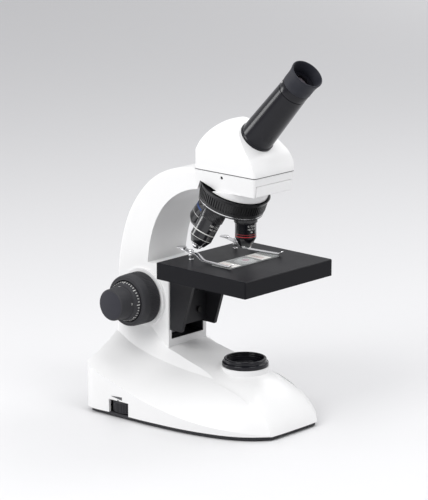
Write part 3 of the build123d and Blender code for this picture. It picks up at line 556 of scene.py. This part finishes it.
@dataclass
class Head:
    """Turning head with its prism, inclined tube and eyepiece."""

    datum: Datum
    nodes: dict[str, bpy.types.Object]

    def build(self) -> None:
        """Make the rubber eyecup, the sleeve below it with its mark, and a thin black sheet of painted shade
        in the gap under the head.
        """
        tube = self.datum.on_joint("eyepiece_turn")
        sleeve_outside = [(14.1, 103.4), (15.9, 103.4), (16.1, 103.8), (16.1, 112.0)]
        flare = [(16.3, 115.0), (16.8, 118.6), (17.5, 121.6), (17.7, 122.8), (17.4, 123.5), (16.8, 123.6)]
        hollow = [(16.3, 123.2), (15.7, 120.5), (15.0, 117.8), (14.4, 115.4), (14.1, 112.0)]
        cup = lathe("rubber_eyecup", sleeve_outside + flare + hollow, 128)
        soften(cup, 0.2)
        settle(cup, tube)
        deliver(cup, RUBBER, "eyepiece", "rubber", "eyecup")
        sleeve = lathe("eyepiece_sleeve", [(14.1, 94.4), (15.6, 94.4), (15.8, 94.7), (15.8, 103.2),
                                           (14.1, 103.2)], 128)
        soften(sleeve, 0.15)
        settle(sleeve, tube)
        deliver(sleeve, TUBE_BLACK, "eyepiece", "black_paint")
        # painted shade: a thin black sheet in the gap between carrier and head that darkens the gap's shadow
        # line
        gap_shade = bar("head_gap_shade", (61.4, 82.8, 0.9), (0, 2.0, 273.1))
        settle(gap_shade, self.datum.optical())
        deliver(gap_shade, BLACK_PLASTIC, "head", "black_paint")
        dot = lathe("sleeve_mark", [(0.0, 0.25), (1.0, 0.2), (1.15, 0.0), (0.0, -0.2)], 16)
        settle(dot, tube @ frame_on(Vector((-11.0, 11.2, 99.5)) * MM, Vector((-0.70, 0.71, 0))))
        deliver(dot, WHITE_INK, "eyepiece", "black_paint")

    def dress(self) -> None:
        """Give the carried-over parts of the head their finishes."""
        looks = {
            WHITE: ["head_housing"],
            TUBE_BLACK: ["eyetube", "eyepiece_barrel"],
            BLACK_BRACKET: ["prism_holder"],
            CHROME: ["head_flange"],
            COATED_GLASS: ["eye_lens", "eyepiece_field_lens", "head_prism"],
        }
        for finish, names in looks.items():
            for name in names:
                wear(self.nodes[name], finish)


@dataclass(frozen=True)
class Objective:
    """One objective: its barrel, its knurled grip, coloured lines, figures and bright nose.

    Attributes:
        node: Frame node of its barrel.
        angle: Seat round the turret's axis, from the front, in degrees.
        barrel: (radius, height) outline below the shoulder, in millimetres.
        grip: Upper and lower height of the knurled band.
        lines: (finish, upper height, lower height) of each painted line.
        nose: Outline of the bright nose.
        rows: (figures, height, size) of each engraved row.
        facing: Angle of the figures round the objective's own axis, in degrees.
        leads: True for the one whose line and nose stand for the frame's shared nodes.
        thread: Radius of the thread above the shoulder, in millimetres.
        thread_length: Height of that thread.
        bore: Radius of the hollow down the barrel's middle.
        paint: How far a painted line stands out of the barrel.
        line_depth: Thickness of a painted line, most of it inside the barrel.
        grip_count: Number of knurled ribs.
    """

    node: str
    angle: float
    barrel: Outline
    grip: tuple[float, float]
    lines: tuple[tuple[Finish, float, float], ...]
    nose: Outline
    rows: tuple[tuple[str, float, float], ...]
    facing: float
    leads: bool = False
    thread: float = 10.1
    thread_length: float = 4.4
    bore: float = 4.4
    paint: float = 0.06
    line_depth: float = 0.4
    grip_count: int = 48

    def radius_at(self, height: float) -> float:
        """Radius of the barrel at a height, in millimetres."""
        for (radius, top), (next_radius, low) in zip(self.barrel, self.barrel[1:]):
            if top >= height >= low and top > low:
                return radius + (next_radius - radius) * (top - height) / (top - low)
        return self.barrel[-1][0]

    def build(self, seat: Matrix) -> None:
        """Make the objective's pieces on its seat.

        Args:
            seat: Place of the seat, z up along the objective's axis.
        """
        segments = self.grip_count * 3
        inner = self.bore
        thread = [(inner, self.thread_length), (self.thread, self.thread_length), (self.thread, 0.0)]
        outline = [*thread, *self.barrel, (inner, self.barrel[-1][1])]
        barrel = lathe(f"{self.node}_barrel", outline, segments)
        cut_grooves(barrel, segments, 3, self.grip[1], self.grip[0], self.barrel[-1][0], 0.35)
        soften(barrel, 0.12, 1)
        settle(barrel, seat)
        deliver(barrel, LACQUER_BLACK, "nosepiece", "objective_black", self.node)
        for number, (finish, high, low) in enumerate(self.lines):
            outer_high = self.radius_at(high) + self.paint
            outer_low = self.radius_at(low) + self.paint
            line = lathe(f"{self.node}_line_{number}",
                         [(outer_high - self.line_depth, high), (outer_high, high),
                          (outer_low, low), (outer_low - self.line_depth, low)], 96)
            bpy.ops.object.shade_smooth_by_angle(angle=math.radians(40))
            settle(line, seat)
            stands_for = ["objective_bands"] if self.leads and number == 0 else []
            deliver(line, finish, "nosepiece", "band_ink", *stands_for)
        nose = lathe(f"{self.node}_nose", list(self.nose), 96)
        soften(nose, 0.12, 2)
        settle(nose, seat)
        deliver(nose, CHROME, "nosepiece", "bright_metal", *(["objective_noses"] if self.leads else []))
        marks = []
        for text, height, size in self.rows:
            mark = figures("figures", text, size)
            wrap(mark, self.radius_at(height) + 0.02, height, self.facing)
            marks.append(mark)
        engraving = join(f"{self.node}_figures", marks)
        settle(engraving, seat)
        deliver(engraving, WHITE_INK, "nosepiece", "band_ink")


OBJECTIVES = (
    Objective("objective_4x", 0, [(12.4, 0), (12.4, -3.4), (11.3, -3.9), (11.3, -20.2), (6.6, -28.6)],
              (-0.4, -3.0), ((RED_INK, -17.6, -18.4), (RED_INK, -15.4, -15.7)),
              [(4.2, -28.65), (6.55, -28.65), (6.2, -29.6), (5.6, -31.0), (4.2, -31.0)],
              (("4 / 0.10", -6.6, 2.3), ("160 / 0.17", -9.8, 1.7), ("4x", -12.6, 2.0)), -104, True),
    Objective("objective_10x", 90, [(12.4, 0), (12.4, -3.4), (11.3, -3.9), (11.3, -24.0), (8.6, -28.0),
                                    (6.0, -35.5)],
              (-0.4, -3.0), ((YELLOW_INK, -18.0, -20.4), (YELLOW_INK, -16.0, -16.4)),
              [(2.8, -35.55), (5.95, -35.55), (5.6, -36.6), (4.4, -38.4), (2.8, -38.4)],
              (("10 / 0.25", -7.4, 2.3), ("160 / 0.17", -11.2, 1.8)), 180),
    Objective("objective_40x", 180, [(12.6, 0), (12.6, -3.4), (11.7, -3.9), (11.7, -33.0), (10.6, -36.0),
                                     (7.4, -40.6)],
              (-0.4, -3.0), ((BLUE_INK, -15.0, -17.4), (WHITE_INK, -25.0, -25.7)),
              [(1.8, -40.65), (7.3, -40.65), (6.8, -41.6), (4.0, -43.6), (3.4, -44.15), (1.8, -44.15)],
              (("40 / 0.65", -7.6, 2.3), ("160 / 0.17", -11.2, 1.8)), -96),
    Objective("objective_100x", 270, [(13.0, 0), (13.0, -8.6), (12.2, -9.2), (12.0, -9.8), (12.0, -31.5),
                                      (8.2, -38.4)],
              (-0.6, -8.2), ((WHITE_INK, -23.6, -24.6), (WHITE_INK, -31.0, -31.4)),
              [(1.2, -38.45), (8.15, -38.45), (7.6, -39.3), (5.6, -40.4), (5.2, -42.2), (3.0, -43.9),
               (2.4, -44.15), (1.2, -44.15)],
              (("100 / 1.25", -14.0, 2.4), ("160 / 0.17", -17.6, 1.9)), -14),
)


@dataclass
class Turret:
    """Tilted revolving nosepiece with four objectives."""

    datum: Datum
    nodes: dict[str, bpy.types.Object]
    ribs: int = 76
    seat_radius: float = 23.5

    def seat(self, angle: float) -> Matrix:
        """Place of an objective's seat: z up along its axis, away from the specimen.

        Args:
            angle: Angle round the turret's axis from the front, in degrees.

        Returns:
            The place of the seat, in metres.
        """
        down = self.datum.direction("nosepiece_turn")
        tilt = math.acos(-down.z)
        front = Vector((0, -math.cos(tilt), -math.sin(tilt)))
        lean = front * math.cos(math.radians(angle)) + Vector((1, 0, 0)) * math.sin(math.radians(angle))
        across = Vector((1, 0, 0)) * math.cos(math.radians(angle)) - front * math.sin(math.radians(angle))
        away = down * math.cos(tilt) + lean * math.sin(tilt)
        shoulder = self.datum.point("nosepiece_turn") + away * self.seat_radius * MM / math.sin(tilt)
        return frame_on(shoulder, -away, across)

    def build(self) -> None:
        """Make the knurled grip ring, its bright line and the four objectives."""
        segments = self.ribs * 2
        ring = lathe("turret_grip", [(33.6, 42.2), (36.0, 41.5), (37.2, 40.7), (37.7, 40.9), (37.4, 42.2),
                                     (36.7, 43.4), (36.3, 44.6), (36.0, 54.2), (35.9, 55.0), (35.3, 55.6),
                                     (35.2, 58.0), (33.6, 58.0)], segments)
        cut_grooves(ring, segments, 2, 44.6, 54.2, 35.0, 1.1)
        bpy.ops.object.shade_smooth_by_angle(angle=math.radians(30))
        line = lathe("turret_line", [(33.7, 58.05), (35.35, 58.05), (35.35, 58.75), (33.7, 58.75)], 128)
        for piece, finish in ((ring, ANODISED), (line, CHROME)):
            settle(piece, self.datum.on_joint("nosepiece_turn"))
            deliver(piece, finish, "nosepiece", "turret_black", *(["turret_ring"] if piece is ring else []))
        for objective in OBJECTIVES:
            objective.build(self.seat(objective.angle))

    def dress(self) -> None:
        """Give the carried-over parts of the turret their finishes."""
        for objective in OBJECTIVES:
            wear(self.nodes[objective.node], LACQUER_BLACK)
        wear(self.nodes["turret_plate"], ANODISED)
        wear(self.nodes["objective_lenses"], COATED_GLASS)


@dataclass
class Stage:
    """Flat stage, its bracket and carriage, clips, slide and condenser.

    Attributes:
        datum: Axes of the microscope.
        nodes: The frame's nodes by name.
        slide_top: Height of the slide's upper face, in millimetres.
        slide_width: Depth of the slide's labels from front to back.
        labels: (place, width) of each paper label along the slide.
        rules: Place of each red rule along the slide.
        strip_path: (reach, height) of a clip's strip from its tail to its tip.
    """

    datum: Datum
    nodes: dict[str, bpy.types.Object]
    slide_top: float = 176.1
    slide_width: float = 24.6
    labels: tuple[tuple[float, float], ...] = ((-29.0, 17.0), (20.0, 15.0))
    rules: tuple[float, ...] = (-34.0, -31.0, -28.0, 17.0, 20.0)
    strip_path: Outline = ((12.0, 10.5), (4.0, 8.8), (0.0, 8.0), (-6.5, 8.0), (-9.0, 7.3), (-16.5, 2.9),
                           (-19.5, 2.0), (-54.5, 2.0), (-57.5, 2.6), (-61.0, 5.0))

    def strip(self, width: float) -> bpy.types.Object:
        """Make a clip's bent strip, running forwards from the post over the slide.

        Args:
            width: Width at the post in millimetres; the tip is a third narrower.

        Returns:
            The strip, with the post's foot at the origin.
        """
        start_clean()
        steps = len(self.strip_path) - 1
        bpy.ops.mesh.primitive_grid_add(x_subdivisions=2, y_subdivisions=steps, size=2 * MM)
        strip = bpy.context.object
        for vertex in strip.data.vertices:
            along = round((vertex.co.y / MM + 1) / 2 * steps)
            reach, height = self.strip_path[along]
            half = width / 2 * (1.0 - 0.34 * along / steps)
            vertex.co = (vertex.co.x * half, reach * MM, height * MM)
        thick = strip.modifiers.new("thick", "SOLIDIFY")
        thick.thickness = 0.9 * MM
        thick.offset = 0.0
        activate(strip)
        bpy.ops.object.modifier_apply(modifier=thick.name)
        bpy.ops.object.mode_set(mode="EDIT")
        bpy.ops.mesh.select_all(action="SELECT")
        bpy.ops.mesh.normals_make_consistent(inside=False)
        bpy.ops.object.mode_set(mode="OBJECT")
        soften(strip, 0.2, 2, 20.0)
        return strip

    def clip(self, side: str, swing: float) -> None:
        """Make one spring clip: turned post, bent strip and thumb pad.

        Args:
            side: "left" or "right".
            swing: Angle that the strip is swung to at rest, in degrees.
        """
        post = lathe("post", [(0.0, 11.3), (1.9, 11.3), (2.5, 10.8), (2.6, 10.2), (2.6, 9.2), (2.1, 8.9),
                              (2.1, 7.2), (2.5, 6.8), (2.5, 2.6), (2.0, 2.2), (2.0, 1.2), (2.6, 0.9),
                              (2.6, 0.1), (0.0, 0.1)], 48)
        soften(post, 0.12)
        pad = lathe("pad", [(0.0, 12.0), (4.9, 12.0), (5.5, 11.6), (5.5, 11.1), (5.0, 10.8), (0.0, 10.8)], 64)
        soften(pad, 0.15)
        settle(pad, Matrix.Translation((0, 14.0 * MM, 0)))
        name = f"{side}_spring_clip"
        whole = join(name, [post, self.strip(7.2), pad])
        place = self.datum.on_joint(f"{side}_clip_swing")
        settle(whole, place @ Matrix.Rotation(math.radians(swing), 4, "Z"))
        deliver(whole, CHROME, f"{side}_clip", "bright_metal", f"stage_clip_{side}")

    def build(self) -> None:
        """Make the clips, and the slide's labels and stained specimen."""
        self.clip("left", -2.0)
        self.clip("right", 7.0)
        labels = join("slide_labels", [
            bar("label", (width, self.slide_width, 0.1), (x, 0.0, self.slide_top + 0.05))
            for x, width in self.labels
        ])
        settle(labels, self.datum.optical())
        deliver(labels, PAPER, "stage", "band_ink")
        rules = join("label_lines", [bar("rule", (0.5, 17.0, 0.06), (x, 0.0, self.slide_top + 0.13))
                                     for x in self.rules])
        settle(rules, self.datum.optical())
        deliver(rules, RED_INK, "stage", "band_ink")
        specimen = lathe("specimen", [(0.0, 0.10), (3.4, 0.10), (3.8, 0.06), (3.4, 0.02), (0.0, 0.02)], 40)
        settle(specimen, self.datum.optical() @ Matrix.Translation((0, 0, self.slide_top * MM)))
        deliver(specimen, SPECIMEN, "stage", "band_ink")

    def dress(self) -> None:
        """Give the carried-over parts of the stage their finishes."""
        looks = {
            BLACK_PAINT: ["stage_plate"],
            BLACK_BRACKET: ["stage_bracket", "stage_carriage", "condenser_mount", "aperture_disc"],
            BLACK_SCREW: ["stage_screws", "disc_screw"],
            STEEL: ["focus_rack"],
            SLIDE_GLASS: ["specimen_slide", "cover_glass"],
            COATED_GLASS: ["condenser_lens"],
        }
        for finish, names in looks.items():
            for name in names:
                wear(self.nodes[name], finish)


@dataclass
class Drives:
    """Focus knobs and shafts on both sides, and the lamp's brightness wheel."""

    datum: Datum
    nodes: dict[str, bpy.types.Object]
    grips: int = 84
    divisions: int = 40
    skirt: tuple[float, float] = (1.8, 5.4)

    def scale(self, name: str) -> bpy.types.Object:
        """Make the fine knob's scale: ticks and figures on its sloping skirt."""
        slope = math.atan2(*self.skirt)
        parts = []
        for count, length in ((self.divisions, 1.9), (self.divisions // 5, 3.4)):
            tick = bar("tick", (0.3, 0.8, length), (0, 0, 0))
            settle(tick, Matrix.Translation((21.0 * MM, 0, (58.4 + length / 2) * MM))
                   @ Matrix.Rotation(-slope, 4, "Y"))
            ring_of_copies(tick, count)
            parts.append(tick)
        for number in range(0, self.divisions, 10):
            mark = figures("mark", str(number), 2.0, 0.12)
            wrap(mark, 17.62, 66.2, number / self.divisions * 360.0 + 4.5)
            parts.append(mark)
        return join(name, parts)

    def knobs(self, side: str, flip: bool) -> None:
        """Make one side's coarse knob, fine knob, cap and scale.

        Args:
            side: "left" or "right".
            flip: True when the knob looks along -x.
        """
        segments = self.grips * 3
        rim = [(5.0, 33.65), (27.4, 33.65), (28.3, 34.5), (28.3, 36.2), (28.2, 48.0), (27.8, 54.6),
               (27.4, 56.4), (26.6, 57.4)]
        ring_line = [(25.6, 57.6), (25.1, 57.3), (24.7, 57.3), (24.2, 57.6)]
        recess = [(23.0, 57.6), (22.6, 57.2), (22.4, 52.5), (14.0, 52.5), (14.0, 46.0), (5.0, 46.0)]
        coarse = lathe(f"coarse_{side}", rim + ring_line + recess, segments)
        cut_grooves(coarse, segments, 3, 36.4, 47.9, 27.5, 0.5)
        bpy.ops.object.shade_smooth_by_angle(angle=math.radians(32))
        fine = lathe(f"fine_{side}", [(3.0, 53.2), (21.2, 53.2), (21.6, 53.6), (21.6, 57.9), (21.3, 58.3),
                                      (19.8, 63.2), (19.2, 63.9), (17.7, 64.3), (17.5, 65.0), (17.2, 78.6),
                                      (17.0, 80.2), (16.4, 81.1), (15.9, 81.3), (3.0, 81.3)], 144)
        bpy.ops.object.shade_smooth_by_angle(angle=math.radians(32))
        cap = lathe(f"cap_{side}", [(0.0, 81.5), (15.3, 81.5), (15.7, 81.35), (15.7, 80.9), (0.0, 80.9)], 144)
        bpy.ops.object.shade_smooth_by_angle(angle=math.radians(32))
        scale = self.scale(f"scale_{side}")
        pieces = (
            (coarse, BLACK_PLASTIC, "coarse_drive", "coarse_turn", [f"coarse_knob_{side}"]),
            (fine, BLACK_PLASTIC, "fine_drive", "fine_turn", [f"fine_knob_{side}"]),
            (cap, SLATE_CAP, "fine_drive", "fine_turn", []),
            (scale, WHITE_INK, "fine_drive", "fine_turn", []),
        )
        for piece, finish, body, joint, stands_for in pieces:
            settle(piece, self.datum.on_joint(joint, flip))
            deliver(piece, finish, body, "black_plastic", *stands_for)

    def build(self) -> None:
        """Make the knobs of both sides and the ribbed brightness wheel."""
        self.knobs("right", False)
        self.knobs("left", True)
        ribs = 60
        wheel = lathe("brightness_wheel", [(3.0, 6.4), (17.9, 6.4), (19.0, 5.4), (19.0, -4.6), (17.9, -5.6),
                                           (3.0, -5.6)], ribs * 2)
        cut_grooves(wheel, ribs * 2, 2, -4.6, 5.4, 18.5, 0.7)
        bpy.ops.object.shade_smooth_by_angle(angle=math.radians(32))
        settle(wheel, self.datum.on_joint("dimmer_turn"))
        deliver(wheel, BLACK_PLASTIC, "dimmer", "black_plastic", "dimmer_wheel")

    def dress(self) -> None:
        """Give the carried-over shafts their finish."""
        for name in ("fine_shaft", "pinion_shaft"):
            wear(self.nodes[name], STEEL)


# ---------------------------------------------------------------- studio
@dataclass
class Studio:
    """Pale floor, soft lights and the camera."""

    datum: Datum
    azimuth: float = -47.27
    elevation: float = 13.75
    distance: float = 2.65081
    lens: float = 184.4
    aim: tuple[float, float, float] = (-48.9, 0.0, 195.74)

    def towards(self, azimuth: float, elevation: float) -> Vector:
        """Unit vector from the object to a bearing, 0 being the front, in degrees."""
        a, e = math.radians(azimuth), math.radians(elevation)
        return Vector((math.sin(a) * math.cos(e), -math.cos(a) * math.cos(e), math.sin(e)))

    def light(self, name: str, azimuth: float, elevation: float, distance: float, size: float,
              power: float, middle: Vector = Vector((0, 0, 0.18))) -> None:
        """Add a square soft box aimed at the middle of the object or at another point."""
        lamp = bpy.data.lights.new(name, "AREA")
        lamp.size = size
        lamp.energy = power
        box = bpy.data.objects.new(name, lamp)
        bpy.context.scene.collection.objects.link(box)
        away = self.towards(azimuth, elevation)
        box.location = middle + away * distance
        box.visible_camera = False
        box.rotation_euler = away.to_track_quat("Z", "Y").to_euler()

    def build(self) -> None:
        """Lay the floor, hang the lights and set up the camera."""
        start_clean()
        bpy.ops.mesh.primitive_plane_add(size=24.0)
        floor = bpy.context.object
        floor.name = floor.data.name = "floor"
        wear(floor, Finish("pale_floor", (0.72, 0.72, 0.725), 0.55, grain=Grain.NONE, mottle=0.0))
        self.light("key", -92, 41, 1.9, 1.0, 17.5)
        self.light("top", -10, 80, 1.7, 0.9, 7)
        self.light("front", 2, 50, 2.2, 0.9, 11)
        self.light("right", 78, 42, 1.9, 0.9, 8)
        self.light("rim", -152, 7, 1.6, 0.5, 4.5)
        self.light("backdrop", 0, 90, 1.1, 0.6, 7, Vector((3.35, 1.35, 0)))
        world = bpy.data.worlds.new("studio")
        world.use_nodes = True
        world.node_tree.nodes["Background"].inputs["Color"].default_value = (0.80, 0.80, 0.82, 1)
        world.node_tree.nodes["Background"].inputs["Strength"].default_value = 0.78
        bpy.context.scene.world = world
        bpy.context.scene.view_settings.view_transform = "Standard"
        camera = bpy.data.cameras.new("camera")
        camera.lens = self.lens
        camera.sensor_fit = "VERTICAL"
        camera.sensor_height = 36.0
        camera.clip_end = 60.0
        view = bpy.data.objects.new("camera", camera)
        bpy.context.scene.collection.objects.link(view)
        axis = self.datum.point("head_turn")
        target = Vector(self.aim) * MM + Vector((axis.x, axis.y, 0))
        back = self.towards(self.azimuth, self.elevation)
        view.location = target + back * self.distance
        view.rotation_euler = back.to_track_quat("Z", "Y").to_euler()
        bpy.context.scene.camera = view


def main() -> None:
    """Load the frame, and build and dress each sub-assembly."""
    logging.basicConfig(level=logging.INFO, format="%(name)s: %(message)s")
    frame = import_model()
    datum = Datum({joint["name"]: joint for joint in frame["joints"]})
    nodes = frame["nodes"]
    Studio(datum).build()
    for assembly in (Casings(datum, nodes), Head(datum, nodes), Turret(datum, nodes),
                     Stage(datum, nodes), Drives(datum, nodes)):
        assembly.build()
        assembly.dress()


if __name__ == "__main__":
    main()
